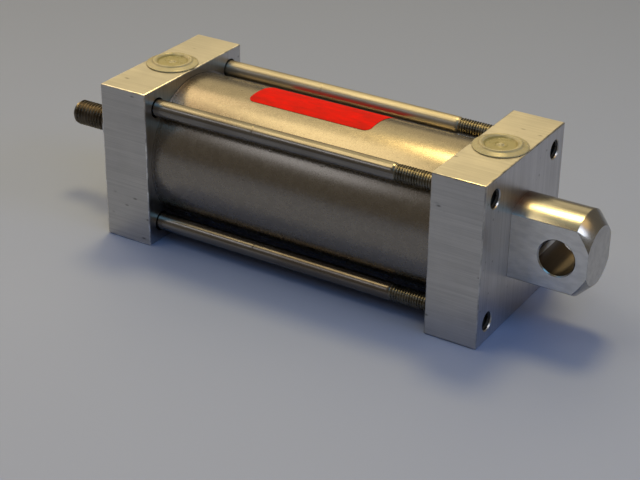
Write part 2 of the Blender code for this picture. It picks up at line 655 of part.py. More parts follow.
def label():
    """A thin red label, wrapped on the tube, with rounded corners."""
    radius = TUBE_RADIUS + LABEL_LIFT
    low, high = math.radians(LABEL_LOW_ANGLE), math.radians(LABEL_HIGH_ANGLE)
    width = radius * (low - high)
    mesh = bpy.data.meshes.new("label")
    shape = bmesh.new()
    lines = []
    for i in range(LABEL_ROWS + 1):
        across = width * i / LABEL_ROWS
        lip = min(across, width - across)
        inset = 0.0
        if lip < LABEL_CORNER:
            inset = LABEL_CORNER - math.sqrt(LABEL_CORNER ** 2 - (LABEL_CORNER - lip) ** 2)
        angle = low - across / radius
        spots = [(station, radius * math.cos(angle), radius * math.sin(angle))
                 for station in (LABEL_START + inset, LABEL_END - inset)]
        lines.append([shape.verts.new(Vector(spot) * MM) for spot in spots])
    for (low_start, low_end), (high_start, high_end) in zip(lines, lines[1:]):
        shape.faces.new((low_start, low_end, high_end, high_start))
    bmesh.ops.recalc_face_normals(shape, faces=shape.faces)
    shape.to_mesh(mesh)
    shape.free()
    thing = link(bpy.data.objects.new("label", mesh), "red_label")
    thing.location = Vector((-MIDDLE, 0, AXIS_HEIGHT)) * MM
    skin = thing.modifiers.new("thickness", "SOLIDIFY")
    skin.thickness = LABEL_THICK * MM
    skin.offset = 1.0


def settle():
    """Apply every piece's modifiers and shade its round faces smooth."""
    bpy.context.view_layer.update()
    graph = bpy.context.evaluated_depsgraph_get()
    made = {thing: bpy.data.meshes.new_from_object(thing.evaluated_get(graph))
            for thing in PARTS.objects}
    for thing, mesh in made.items():
        thing.modifiers.clear()
        mesh.name = thing.name
        mesh.shade_smooth()
        mesh.set_sharp_from_angle(angle=math.radians(30))
        thing.data = mesh


front_head()
rear_head()
barrel_tube()
tie_bolts()
rod_gland()
gland_fittings()
head_seals()
piston_rod()
piston()
piston_seals()
piston_nut()
rear_eye()
eye_fixings()
port_plugs()
label()
settle()
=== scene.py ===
"""Looks of the square-head pneumatic cylinder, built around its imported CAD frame.

Lengths are in millimetres except where a comment says metres, and MM turns them
into the frame's metres. A station is a distance along X from the front head's
outer face.
"""
import math

import bmesh
import bpy
import numpy as np
from mathutils import Matrix, Vector

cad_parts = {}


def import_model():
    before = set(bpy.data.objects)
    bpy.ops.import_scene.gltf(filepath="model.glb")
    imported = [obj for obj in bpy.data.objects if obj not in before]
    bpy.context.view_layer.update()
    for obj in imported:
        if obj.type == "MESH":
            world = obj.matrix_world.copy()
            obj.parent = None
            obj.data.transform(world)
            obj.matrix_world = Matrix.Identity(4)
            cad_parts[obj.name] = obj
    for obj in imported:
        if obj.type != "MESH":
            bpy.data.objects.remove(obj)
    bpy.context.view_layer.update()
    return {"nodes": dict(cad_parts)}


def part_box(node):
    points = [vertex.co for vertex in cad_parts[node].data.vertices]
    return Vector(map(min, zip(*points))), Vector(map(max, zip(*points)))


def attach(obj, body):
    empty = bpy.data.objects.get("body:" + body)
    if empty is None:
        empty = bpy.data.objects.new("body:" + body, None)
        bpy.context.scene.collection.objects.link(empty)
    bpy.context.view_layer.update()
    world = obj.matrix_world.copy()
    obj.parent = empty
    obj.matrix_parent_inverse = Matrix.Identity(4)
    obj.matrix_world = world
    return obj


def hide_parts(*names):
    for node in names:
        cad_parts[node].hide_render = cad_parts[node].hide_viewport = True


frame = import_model()
MM = 0.001

# ---------------------------------------------------------------- sizes of the CAD model
FRONT_LOW, FRONT_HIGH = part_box("front_head")
REAR_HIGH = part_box("rear_head")[1]
ROD_LOW, ROD_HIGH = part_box("piston_rod")
EYE_LOW, EYE_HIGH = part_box("rear_eye")
GLAND_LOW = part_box("rod_gland")[0]
TUBE_LOW, TUBE_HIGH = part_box("barrel_tube")
BOLT_LOW, BOLT_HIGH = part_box("tie_bolt_1")
PLUG_LOW, PLUG_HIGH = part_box("front_port_plug")
LABEL_LOW, LABEL_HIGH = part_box("label")


def station(x):
    """The station, in millimetres, of a place along X in metres."""
    return (x - FRONT_LOW.x) / MM


HEAD_SIDE = (FRONT_HIGH.y - FRONT_LOW.y) / MM
HEAD_THICK = 24.5
SPIGOT_LENGTH = station(FRONT_HIGH.x) - HEAD_THICK
AXIS_HEIGHT = HEAD_SIDE / 2
OUTER_REAR = station(REAR_HIGH.x)
INNER_REAR = OUTER_REAR - HEAD_THICK
TUBE_RADIUS = (TUBE_HIGH.y - TUBE_LOW.y) / 2 / MM
TUBE_START, TUBE_END = station(TUBE_LOW.x), station(TUBE_HIGH.x)
BORE_RADIUS = 31.5
SPIGOT_RADIUS = 31.2
TUBE_SEAT_RADIUS = 35.4
TUBE_SEAT_DEPTH = 1.0
TUBE_SEAT_PLAY = 0.08
SEAT_MOUTH_RADIUS = TUBE_SEAT_RADIUS - 0.25
SEAT_MOUTH_DEPTH = 0.18
SPIGOT_ROOT = 4.0               # how far the spigot's solid reaches into its head
EDGE_ROUNDING = 0.55
CUT_PAST = 2.0                  # how far a cutting shape reaches past a face
HOLE_CHAMFER = 0.3

BOLT_OFFSET = 28.25
BOLT_PLACES = [(-BOLT_OFFSET, BOLT_OFFSET), (BOLT_OFFSET, BOLT_OFFSET),
               (BOLT_OFFSET, -BOLT_OFFSET), (-BOLT_OFFSET, -BOLT_OFFSET)]
BOLT_TOP, BOLT_END = station(BOLT_LOW.x), station(BOLT_HIGH.x)
BOLT_RADIUS = 4.0
BOLT_PITCH = 1.25
BOLT_HEAD_RADIUS = 6.5
BOLT_HEAD_HEIGHT = 8.0
BOLT_THREAD_LENGTH = 36.0
BOLT_CREST_RADIUS = BOLT_RADIUS - 0.12
BOLT_RUNOUT_RADIUS = BOLT_RADIUS - 0.32
BOLT_TIP_RADIUS = BOLT_RADIUS - 1.0
BOLT_SOCKET_RADIUS = 3.46
BOLT_SOCKET_DEPTH = 4.0
BOLT_HOLE_RADIUS = 4.5
BOLT_HOLE_CHAMFER = 0.2
COUNTERBORE_RADIUS = 7.9
COUNTERBORE_DEPTH = 10.5
TAPPED_HOLE_RADIUS = 4.15
TAPPED_HOLE_RIM = 0.45          # depth of the chamfer at its mouth
TAPPED_HOLE_FLARE = 2.2         # how far the chamfer's cone widens, past the face
BOLT_MARK_STATION = 77.0
# The faint turned ring on each shank: place from its middle, and depth
BOLT_MARK = ((-0.5, 0.0), (-0.2, 0.0), (-0.1, 0.04), (0.1, 0.04), (0.2, 0.0), (0.5, 0.0))
# Where each shank meets its thread: place before the thread's start, and depth
BOLT_RUNOUT = ((2.4, 0.0), (1.6, 0.0), (1.0, 0.08), (0.3, 0.3))

ROD_RADIUS = 9.0
ROD_TIP, ROD_END = station(ROD_LOW.x), station(ROD_HIGH.x)
ROD_SHOULDER = -24.75
PISTON_FACE = 132.5
STUD_RADIUS = 6.0
STUD_PITCH = 1.75
STUD_CHAMFER = 1.7
STUD_RELIEF = 0.9               # depth of the undercut beside the shoulder
STUD_RELIEF_LENGTH = 1.2
SHOULDER_CHAMFER = 0.7
PISTON_SEAT_RADIUS = STUD_RADIUS - 0.1
ROD_END_CHAMFER = 1.0
ROD_FLAT_HALF = 7.5             # each spanner flat's distance from the axis
ROD_FLAT_LENGTH = 8
ROD_FLAT_START = ROD_SHOULDER + 2
NUT_RECESS_RADIUS = 14.5
NUT_RECESS_DEPTH = 11
SCREW_RECESS_RADIUS = 8.7
SCREW_WEB = 9.5                 # metal left between the eye screw's head and the outer face
SCREW_HOLE_RADIUS = 5.3

GLAND_TOP = station(GLAND_LOW.x)
GLAND_BOSS_RADIUS = 15.0
GLAND_SEAT_RADIUS = 17.0
GLAND_SEAT_DEPTH = 16.0
GLAND_PLAY = 0.15
GLAND_END_PLAY = 0.25
GLAND_FLAT_HALF = 13.5
LIP_SEAT_RADIUS = 12.8
LIP_SEAT_DEPTH = 4.2
BUSH_RADIUS = 11.0
BUSH_END = 9.6

EYE_RADIUS = (EYE_HIGH.z - EYE_LOW.z) / 2 / MM
EYE_HALF_THICK = (EYE_HIGH.y - EYE_LOW.y) / 2 / MM
EYE_END = station(EYE_HIGH.x)
EYE_NOSE = 5.75
EYE_GAP = 0.02
EYE_EDGE_ROUNDING = 0.22
EYE_HOLE_RADIUS = 8.0
EYE_HOLE_CHAMFER = 0.5
EYE_HOLE_STATION = OUTER_REAR + 21.25
# A brown shadow painted on the eye's top next to the rear head: its length, the heights above the
# axis over which it fades in, and how ragged its edge is.
EYE_JOINT_SHADOW_LENGTH = 7.0
EYE_JOINT_SHADOW_LOW, EYE_JOINT_SHADOW_HIGH = 13.0, 17.5      # above the axis; it fades in between them
EYE_JOINT_SHADOW_RAGGED = 1.5

PORT_RADIUS = 5.9
PORT_CORE_RADIUS = PORT_RADIUS - 0.3
PORT_MOUTH_RADIUS = PORT_RADIUS + 0.5
PORT_THREAD_RADIUS = PORT_RADIUS + 0.55
PORT_DEPTH = 17.0
PORT_THREAD_START = -PORT_DEPTH + 3
PORT_THREAD_END = -0.8
PORT_PITCH = 1.337
PORT_FLARE = 2.3                # how far the port's chamfer widens, above the head
PORT_CUT_PAST = 1.5
PLUG_RADIUS = (PLUG_HIGH.x - PLUG_LOW.x) / 2 / MM
PLUG_TOP = PLUG_HIGH.z / MM - HEAD_SIDE
PLUG_STEM_RADIUS = 5.6
PLUG_STEM_LENGTH = 9.0
PLUG_RIBS = 3
PLUG_RIB_PITCH = 2.0
PLUG_BORE_RADIUS = 4.0
PLUG_DISH_RADIUS = 7.2
PLUG_BUMP_RADIUS = 1.6

LABEL_CORNER = 3.2
LABEL_FILM = 0.12
LABEL_RADIUS = TUBE_RADIUS + 0.03
CAD_LABEL_RADIUS = TUBE_RADIUS + 0.25           # outside of the CAD label

# ---------------------------------------------------------------- mesh helpers


def at(along, y=0.0, height=AXIS_HEIGHT):
    """A point of the frame, in metres, from a station, y and a height."""
    return Vector((FRONT_LOW.x + along * MM, y * MM, height * MM))


def added(name, data):
    """A new object in the scene, carrying a mesh, a camera or a light."""
    thing = bpy.data.objects.new(name, data)
    bpy.context.scene.collection.objects.link(thing)
    return thing


def round_row(along, radius, count):
    """One circle of a turned shape: its stations and its radii, all alike."""
    return np.full(count, float(along)), np.full(count, float(radius))


# One pitch of a thread: place along the pitch, and height from root (0) to crest (1)
THREAD_FORM = ((0.0, 1.0), (0.12, 1.0), (0.43, 0.06), (0.50, 0.0), (0.62, 0.0), (0.69, 0.06))
THREAD_DEPTH_RATIO = 0.6134


def thread_rows(start, end, major, pitch, count, start_radius, end_radius, fade=1.0):
    """Rows of a right-hand thread, run out to plain circles at both ends."""
    turn = np.arange(count) / count
    depth = THREAD_DEPTH_RATIO * pitch
    rows = []
    for number in range(-1, math.ceil((end - start) / pitch) + 1):
        for phase, height in THREAD_FORM:
            along = np.clip(start + pitch * (number + phase + turn), start, end)
            radius = np.full(count, major - depth * (1.0 - height))
            low = np.clip((along - start) / fade, 0, 1)
            high = np.clip((end - along) / fade, 0, 1)
            radius = start_radius + (radius - start_radius) * low
            radius = end_radius + (radius - end_radius) * high
            rows.append((along, radius))
    return rows


MERGE_DISTANCE = 0.0005


def turned_mesh(rows, y=0.0, height=AXIS_HEIGHT, hollow=False):
    """A closed mesh turned about a line along X, from rows of stations and radii."""
    count = len(rows[0][0])
    angle = np.arange(count) * math.tau / count
    shape = bmesh.new()
    grid = []
    for along, radius in rows:
        points = zip(along, y + radius * np.cos(angle), height + radius * np.sin(angle))
        grid.append([shape.verts.new(at(*point)) for point in points])
    last = len(grid) if hollow else len(grid) - 1
    for i in range(last):
        one, two = grid[i], grid[(i + 1) % len(grid)]
        for j in range(count):
            k = (j + 1) % count
            shape.faces.new((one[j], one[k], two[k], two[j]))
    if not hollow:
        shape.faces.new(grid[0][::-1])
        shape.faces.new(grid[-1])
    bmesh.ops.remove_doubles(shape, verts=shape.verts, dist=MERGE_DISTANCE * MM)
    bmesh.ops.dissolve_degenerate(shape, edges=shape.edges, dist=1e-8)
    return to_mesh(shape)


def to_mesh(shape):
    """The mesh of a bmesh, which is freed."""
    mesh = bpy.data.meshes.new("shape")
    shape.to_mesh(mesh)
    shape.free()
    return mesh


def outline_rows(outline, count):
    """Rows from (radius, station) points."""
    return [round_row(along, radius, count) for radius, along in outline]


def plain_turned(outline, count=64, y=0.0, height=AXIS_HEIGHT):
    """A solid turned about a line along X, from (radius, station) points."""
    return turned_mesh(outline_rows(outline, count), y, height)


def hollow_turned(outer, inner, count=96):
    """A ring on the axis from its outer outline and its inner one, with rising stations."""
    return turned_mesh(outline_rows(outer + inner[::-1], count), hollow=True)


ROUNDING_SHARE = 1 / 2.2        # the most of a side that one corner's rounding takes


def rounded(outline, radius, steps=3):
    """An outline whose corners are rounded, as (radius, station) points."""
    points = [Vector(p) for p in outline]
    made = [points[0]]
    for before, corner, after in zip(points, points[1:], points[2:]):
        into, out = before - corner, after - corner
        reach = min(radius, into.length * ROUNDING_SHARE, out.length * ROUNDING_SHARE)
        start, end = corner + into.normalized() * reach, corner + out.normalized() * reach
        for i in range(steps + 1):
            t = i / steps
            made.append(start * (1 - t) ** 2 + corner * 2 * t * (1 - t) + end * t ** 2)
    made.append(points[-1])
    return [tuple(p) for p in made]


def stood_up(mesh, along):
    """A mesh turned about the line y = height = 0, stood upright on the heads' tops."""
    turn = Matrix.Rotation(-math.pi / 2, 4, "Y")
    move = Matrix.Translation(at(along, 0.0, HEAD_SIDE))
    mesh.transform(move @ turn @ Matrix.Translation(-at(0.0, 0.0, 0.0)))
    return mesh


def cross_mesh(outline, along, count=96):
    """A closed mesh turned about a line along Y: (radius, y) points."""
    mesh = plain_turned(outline, count, 0.0, 0.0)
    turn = Matrix.Rotation(math.pi / 2, 4, "Z")
    mesh.transform(Matrix.Translation(at(along)) @ turn @ Matrix.Translation(-at(0.0, 0.0, 0.0)))
    return mesh


def box_mesh(low, high):
    """A box between two corners, each (station, y, height)."""
    shape = bmesh.new()
    bmesh.ops.create_cube(shape, size=1.0)
    size = [(b - a) * MM for a, b in zip(low, high)]
    bmesh.ops.scale(shape, vec=size, verts=shape.verts)
    bmesh.ops.translate(shape, vec=(at(*low) + at(*high)) / 2, verts=shape.verts)
    return to_mesh(shape)


def applied(thing):
    """The mesh of an object with its modifiers applied; the object is removed."""
    bpy.context.view_layer.update()
    graph = bpy.context.evaluated_depsgraph_get()
    mesh = bpy.data.meshes.new_from_object(thing.evaluated_get(graph))
    bpy.data.objects.remove(thing)
    return mesh


def carved(mesh, *changes):
    """A mesh after Boolean changes, each an (operation, mesh) pair."""
    thing = added("temporary", mesh)
    tools = []
    for operation, tool_mesh in changes:
        tool = added("temporary", tool_mesh)
        tools.append(tool)
        change = thing.modifiers.new("change", "BOOLEAN")
        change.operation = operation
        change.object = tool
        change.solver = "EXACT"
    result = applied(thing)
    for tool in tools:
        bpy.data.objects.remove(tool)
    return result


def bevelled(mesh, width, angle=35.0):
    """A mesh whose edges sharper than an angle in degrees are rounded."""
    thing = added("temporary", mesh)
    edge = thing.modifiers.new("bevel", "BEVEL")
    edge.width = width * MM
    edge.segments = 2
    edge.limit_method = "ANGLE"
    edge.angle_limit = math.radians(angle)
    return applied(thing)


def side_flats(start, end, inner, outer, past=0.0):
    """Cuts that leave two flats facing along Y, `inner` from the axis."""
    cuts = []
    for side in (-1, 1):
        low, high = sorted((side * inner, side * outer))
        cuts.append(("DIFFERENCE", box_mesh((start, low, -past), (end, high, HEAD_SIDE + past))))
    return cuts


# ---------------------------------------------------------------- material helpers

NOISE_SPAN = (0.3, 0.7)         # most of a noise lies between these
# Sockets of a Mix node that are used for colours
MIX_FACTOR, MIX_ONE, MIX_TWO, MIX_RESULT = 0, 6, 7, 2


class Paint:
    """A Principled material, built node by node.

    Texture scales are grains per metre on each axis of the object's coordinates.
    """

    def __init__(self, name, colour, metallic, roughness):
        """A plain material, with its output linked."""
        self.material = bpy.data.materials.new(name)
        self.material.use_nodes = True
        self.tree = self.material.node_tree
        self.shader = self.tree.nodes.get("Principled BSDF")
        if self.shader is None:
            self.shader = self.tree.nodes.new("ShaderNodeBsdfPrincipled")
            output = self.tree.nodes.new("ShaderNodeOutputMaterial")
            self.tree.links.new(self.shader.outputs[0], output.inputs[0])
        self.set("Base Color", (*colour, 1.0))
        self.set("Metallic", metallic)
        self.set("Roughness", roughness)
        self.bumps = None

    def set(self, name, value):
        """Sets an input of the shader to a plain value."""
        self.shader.inputs[name].default_value = value

    def add(self, kind, **inputs):
        """A new node, its inputs given as values or sockets."""
        node = self.tree.nodes.new(kind)
        for name, value in inputs.items():
            self.feed(node, name.replace("_", " "), value)
        return node

    def feed(self, node, name, value):
        """Links a socket to a node's input, or sets a plain value there."""
        if isinstance(value, bpy.types.NodeSocket):
            self.tree.links.new(value, node.inputs[name])
        else:
            node.inputs[name].default_value = value

    def link(self, name, socket):
        """Links a socket to an input of the shader."""
        self.tree.links.new(socket, self.shader.inputs[name])

    def place(self, scale):
        """Object coordinates in metres, times a scale for each axis."""
        source = self.add("ShaderNodeTexCoord")
        mapping = self.add("ShaderNodeMapping", Vector=source.outputs["Object"], Scale=scale)
        return mapping.outputs[0]

    def noise(self, scale, detail=3.0, roughness=0.5):
        """Noise whose grains are 1/scale metres long on each axis."""
        node = self.add("ShaderNodeTexNoise", Vector=self.place(scale), Scale=1.0, Detail=detail,
                        Roughness=roughness)
        return node.outputs["Fac"]

    def ramp(self, value, low, high, dark, light):
        """A value between low and high, spread over dark to light."""
        node = self.add("ShaderNodeMapRange", Value=value)
        for name, number in (("From Min", low), ("From Max", high), ("To Min", dark),
                             ("To Max", light)):
            node.inputs[name].default_value = number
        return node.outputs[0]

    def mix(self, factor, one, two):
        """Colour one where the factor is 0, colour two where it is 1."""
        node = self.add("ShaderNodeMix")
        node.data_type = "RGBA"
        self.feed(node, MIX_FACTOR, factor)
        for index, value in ((MIX_ONE, one), (MIX_TWO, two)):
            if isinstance(value, bpy.types.NodeSocket):
                self.tree.links.new(value, node.inputs[index])
            else:
                node.inputs[index].default_value = (*value, 1.0)
        return node.outputs[MIX_RESULT]

    def blend(self, value, span, one, two):
        """Colour one where a value is at the span's low end, colour two at its high end."""
        return self.mix(self.ramp(value, *span, 0, 1), one, two)

    def roughen(self, value, low, high, span=NOISE_SPAN):
        """Spreads the roughness over low to high with a value."""
        self.link("Roughness", self.ramp(value, *span, low, high))

    def average(self, one, two, share):
        """A value made of `share` of value one and the rest of value two."""
        return self.math("ADD", self.math("MULTIPLY", one, share),
                         self.math("MULTIPLY", two, 1 - share))

    def math(self, operation, one, two):
        """One arithmetic step on two values."""
        node = self.add("ShaderNodeMath")
        node.operation = operation
        for index, value in enumerate((one, two)):
            self.feed(node, index, value)
        return node.outputs[0]

    def bump(self, height, strength, distance):
        """Adds a layer of relief, its distance in millimetres."""
        node = self.add("ShaderNodeBump", Height=height, Strength=strength,
                        Distance=distance * MM)
        if self.bumps is not None:
            self.tree.links.new(self.bumps, node.inputs["Normal"])
        self.bumps = node.outputs[0]
        self.link("Normal", self.bumps)


def shaded(colour, factor):
    """A colour made darker or lighter by a factor."""
    return tuple(min(1.0, part * factor) for part in colour)


def nicks(paint, size, amount):
    """Sparse small dents, 1 in a dent and 0 elsewhere, about `size` millimetres wide."""
    grain = 1.0 / (size * MM)
    cells = paint.add("ShaderNodeTexVoronoi", Scale=1.0,
                      Vector=paint.place((grain * 0.12, grain * 0.28, grain * 0.28)))
    near = paint.ramp(cells.outputs["Distance"], 0.04, 0.16, 1.0, 0.0)
    chosen = paint.noise((grain * 0.09,) * 3, 1.0)
    kept = paint.ramp(chosen, 1.0 - amount - 0.05, 1.0 - amount, 0, 1)
    return paint.math("MULTIPLY", near, kept)


# Which way tool lines run: the axes along them, and those across them
LINES_ALONG_X = ((1, 0, 0), (0, 1, 1))
LINES_UPRIGHT = ((0, 0, 1), (1, 1, 0))


def milled(name, lines, colour, blur, waves):
    """Sawn and milled aluminium: fine lines one way, soft waves, small dents.

    `blur` is its range of roughness, and `waves` is how strong the soft waves are.
    """
    along, across = lines
    paint = Paint(name, colour, 1.0, sum(blur) / 2)
    fine = paint.noise(tuple(a * 25 + b * 2800 for a, b in zip(along, across)), 2.0)
    band = paint.noise(tuple(a * 14 + b * 620 for a, b in zip(along, across)), 4.0, 0.65)
    cloud = paint.noise((45, 45, 45), 4.0, 0.6)
    dents = nicks(paint, 1.2, 0.47)
    mixed = paint.average(paint.average(fine, band, 0.5), cloud, 0.7)
    tone = paint.blend(mixed, (0.36, 0.64), shaded(colour, 0.80), shaded(colour, 1.14))
    tone = paint.mix(paint.math("MULTIPLY", dents, 0.75), tone, (0.10, 0.092, 0.085))
    paint.link("Base Color", tone)
    paint.roughen(cloud, *blur)
    paint.bump(fine, 0.35, 0.02)
    paint.bump(band, waves, 0.03)
    paint.bump(dents, 0.5, -0.12)
    return paint.material


def highlit_edge(name, dull, bright):
    """Broken edges of the heads, painted bright as a highlight, in patches that look rubbed."""
    paint = Paint(name, bright, 1.0, 0.4)
    rubbed_and_highlit = paint.noise((170, 170, 170), 4.0, 0.6)
    # Painted highlight on the edges, broken into patches that look rubbed.
    paint.link("Base Color", paint.blend(rubbed_and_highlit, (0.42, 0.60), dull, bright))
    paint.roughen(rubbed_and_highlit, 0.32, 0.46, (0.4, 0.6))
    paint.bump(rubbed_and_highlit, 0.4, 0.05)
    return paint.material


def satin_tube():
    """Drawn tube: fine grain, faint mottling, a few dents and long faint lines."""
    colour = (0.278, 0.248, 0.210)
    paint = Paint("satin_tube", colour, 1.0, 0.20)
    grain = paint.noise((1100, 1300, 1300), 2.0, 0.6)
    mottle = paint.noise((260, 320, 320), 4.0, 0.65)
    lines = paint.noise((7, 900, 900), 2.0)
    dents = nicks(paint, 0.8, 0.36)
    tone = paint.blend(mottle, (0.35, 0.68), shaded(colour, 0.93), shaded(colour, 1.05))
    speckle = paint.math("MULTIPLY", paint.ramp(grain, 0.52, 0.70, 0, 1), 0.30)
    tone = paint.mix(speckle, tone, (0.13, 0.115, 0.095))
    tone = paint.mix(paint.math("MULTIPLY", dents, 0.5), tone, (0.16, 0.14, 0.12))
    paint.link("Base Color", tone)
    paint.roughen(mottle, 0.25, 0.29)
    paint.bump(grain, 0.30, 0.02)
    paint.bump(mottle, 0.18, 0.02)
    paint.bump(lines, 0.15, 0.012)
    paint.bump(dents, 0.5, -0.10)
    return paint.material


def bright_steel(name, low, high, stain, blur):
    """Drawn bright bar with faint lines along its length and dull stains.

    `blur` is its range of roughness.
    """
    paint = Paint(name, high, 1.0, sum(blur) / 2)
    lines = paint.noise((30, 1400, 1400), 2.0)
    cloud = paint.noise((70, 300, 300), 3.0)
    patch = paint.noise((22, 22, 22), 2.0)
    tone = paint.blend(lines, (0.35, 0.65), low, high)
    paint.link("Base Color", paint.mix(paint.ramp(patch, 0.4, 0.62, 0, 0.8), tone, stain))
    paint.roughen(cloud, *blur)
    paint.bump(lines, 0.2, 0.01)
    return paint.material


def dark_thread(name, colour, roughness):
    """Dark, oily steel of a rolled thread, unevenly shiny."""
    paint = Paint(name, colour, 1.0, roughness)
    cloud = paint.noise((260, 260, 260), 3.0)
    paint.link("Base Color", paint.blend(cloud, (0.35, 0.65), shaded(colour, 0.75),
                                         shaded(colour, 1.2)))
    paint.roughen(cloud, roughness - 0.04, roughness + 0.06)
    paint.bump(cloud, 0.1, 0.01)
    return paint.material


def eye_steel(name, scale, colour, low, high, relief, joint_shadow=0.0):
    """Turned or milled steel of the eye; scale gives the direction of its tool lines.

    A last argument above 0 paints a brown shadow on the eye's top, where it meets the head.
    """
    paint = Paint(name, colour, 1.0, (low + high) / 2)
    lines = paint.noise(scale, 2.0)
    cloud = paint.noise((60, 60, 60), 3.0)
    tone = paint.blend(lines, (0.35, 0.65), shaded(colour, 0.92), shaded(colour, 1.08))
    if joint_shadow > 0:
        # Paints a brown shadow on the eye's top, next to the head.
        spot = paint.add("ShaderNodeSeparateXYZ", Vector=paint.place((1, 1, 1)))
        ragged = paint.ramp(paint.noise((260, 260, 260), 2.0), *NOISE_SPAN,
                            -EYE_JOINT_SHADOW_RAGGED * MM, EYE_JOINT_SHADOW_RAGGED * MM)
        along = paint.math("ADD", spot.outputs["X"], ragged)
        near = paint.ramp(along, at(OUTER_REAR).x, at(OUTER_REAR + EYE_JOINT_SHADOW_LENGTH).x, 1.0, 0.0)
        above = paint.ramp(spot.outputs["Z"], (AXIS_HEIGHT + EYE_JOINT_SHADOW_LOW) * MM,
                           (AXIS_HEIGHT + EYE_JOINT_SHADOW_HIGH) * MM, 0.0, 1.0)
        joint_shadow_mask = paint.math("MULTIPLY", paint.math("MULTIPLY", near, above), joint_shadow)
        tone = paint.mix(joint_shadow_mask, tone, (0.16, 0.075, 0.055))
    paint.link("Base Color", tone)
    paint.roughen(cloud, low, high)
    paint.bump(lines, relief, 0.012)
    return paint.material


def chrome():
    """Ground hard chrome, with faint lines round the rod."""
    paint = Paint("ground_chrome", (0.70, 0.70, 0.71), 1.0, 0.07)
    lines = paint.noise((900, 60, 60), 2.0)
    paint.roughen(lines, 0.05, 0.10)
    paint.bump(lines, 0.08, 0.005)
    return paint.material


def plug_plastic(name, dull, light, depth):
    """Soft translucent plastic: waxy, yellowish, slightly uneven."""
    paint = Paint(name, light, 0.0, 0.30)
    cloud = paint.noise((180, 180, 180), 3.0)
    paint.link("Base Color", paint.blend(cloud, NOISE_SPAN, dull, light))
    paint.roughen(cloud, 0.24, 0.36)
    paint.set("Subsurface Weight", depth)
    paint.set("Subsurface Radius", (1.0, 0.8, 0.35))
    paint.set("Subsurface Scale", 1.5 * MM)
    paint.set("Specular IOR Level", 0.45)
    paint.bump(cloud, 0.15, 0.05)
    return paint.material


def label_red():
    """Plain matt red film, slightly faded and uneven."""
    paint = Paint("label_red", (0.62, 0.008, 0.003), 0.0, 0.50)
    paint.set("Specular IOR Level", 0.06)
    cloud = paint.noise((120, 300, 300), 4.0, 0.6)
    paint.link("Base Color", paint.blend(cloud, NOISE_SPAN, (0.46, 0.005, 0.002),
                                         (0.74, 0.006, 0.002)))
    paint.roughen(cloud, 0.55, 0.70)
    paint.bump(cloud, 0.15, 0.03)
    return paint.material


def simple(name, colour, metallic, roughness, scale):
    """A material for holes and inner pieces, with a light grain."""
    paint = Paint(name, colour, metallic, roughness)
    grain = paint.noise(scale, 3.0)
    paint.link("Base Color", paint.blend(grain, NOISE_SPAN, shaded(colour, 0.85),
                                         shaded(colour, 1.1)))
    paint.roughen(grain, roughness * 0.85, roughness * 1.2)
    paint.bump(grain, 0.2, 0.02)
    return paint.material


MILLED_SIDE = milled("milled_side", LINES_ALONG_X, (0.53, 0.51, 0.48), (0.30, 0.40), 0.45)
MILLED_END = milled("milled_end", LINES_UPRIGHT, (0.60, 0.58, 0.57), (0.28, 0.35), 0.30)
# Painted highlight on the heads' edges, brighter on the front head than on the rear one.
FRONT_EDGE_HIGHLIGHT = highlit_edge("front_edge_highlight", (0.50, 0.48, 0.45), (0.95, 0.93, 0.88))
REAR_EDGE_HIGHLIGHT = highlit_edge("rear_edge_highlight", (0.36, 0.35, 0.33), (0.62, 0.60, 0.57))
TUBE = satin_tube()
BRIGHT = bright_steel("bright_bar", (0.195, 0.180, 0.160), (0.255, 0.235, 0.210),
                      (0.150, 0.128, 0.108), (0.21, 0.28))
# A lighter, rougher copy of the bright bar for the far bolts: painted light, standing in for the
# lit tube and label that they reflect.
FAR_BAR_LIT = bright_steel("far_bar_lit", (0.30, 0.28, 0.24), (0.365, 0.34, 0.295),
                      (0.255, 0.23, 0.19), (0.36, 0.43))
BOLT_THREAD = dark_thread("bolt_thread", (0.23, 0.21, 0.165), 0.27)
STUD_THREAD = dark_thread("stud_thread", (0.15, 0.128, 0.098), 0.27)
# The eye's round bar carries the painted shadow next to the head.
EYE_ROUND = eye_steel("eye_round", (40, 1500, 1500), (0.38, 0.37, 0.35), 0.21, 0.27, 0.2, 0.9)
EYE_FLAT = eye_steel("eye_flat", (160, 160, 420), (0.76, 0.74, 0.70), 0.30, 0.38, 0.06)
EYE_TIP = eye_steel("eye_tip", (300, 300, 300), (0.55, 0.53, 0.50), 0.30, 0.38, 0.06)
# Dark brown wall of the eye's cross hole: painted shade inside the hole.
EYE_BORE_SHADE = eye_steel("eye_bore_shade", (900, 60, 900), (0.11, 0.085, 0.06), 0.28, 0.38, 0.2)
CHROME = chrome()
PLUG_RIM = plug_plastic("plug_rim", (0.345, 0.315, 0.20), (0.41, 0.375, 0.25), 0.2)
# Darker copy of the plug plastic for the thin dish: painted shade of the dark port showing
# through.
PLUG_DISH_SHADE = plug_plastic("plug_dish_shade", (0.235, 0.21, 0.09), (0.30, 0.265, 0.125), 0.1)
# Near-black walls of the heads' bolt holes: painted shade inside the holes.
HOLE_WALL_SHADE = simple("hole_wall_shade", (0.07, 0.064, 0.058), 1.0, 0.45, (500, 500, 500))
RED = label_red()
RUBBER = simple("seal_rubber", (0.02, 0.02, 0.02), 0.0, 0.6, (900, 900, 900))
GUIDE = simple("guide_plastic", (0.20, 0.13, 0.06), 0.0, 0.5, (600, 600, 600))
BRONZE = simple("bush_bronze", (0.55, 0.36, 0.16), 1.0, 0.3, (40, 1200, 1200))
BLACK_STEEL = simple("black_steel", (0.07, 0.065, 0.06), 1.0, 0.4, (700, 700, 700))


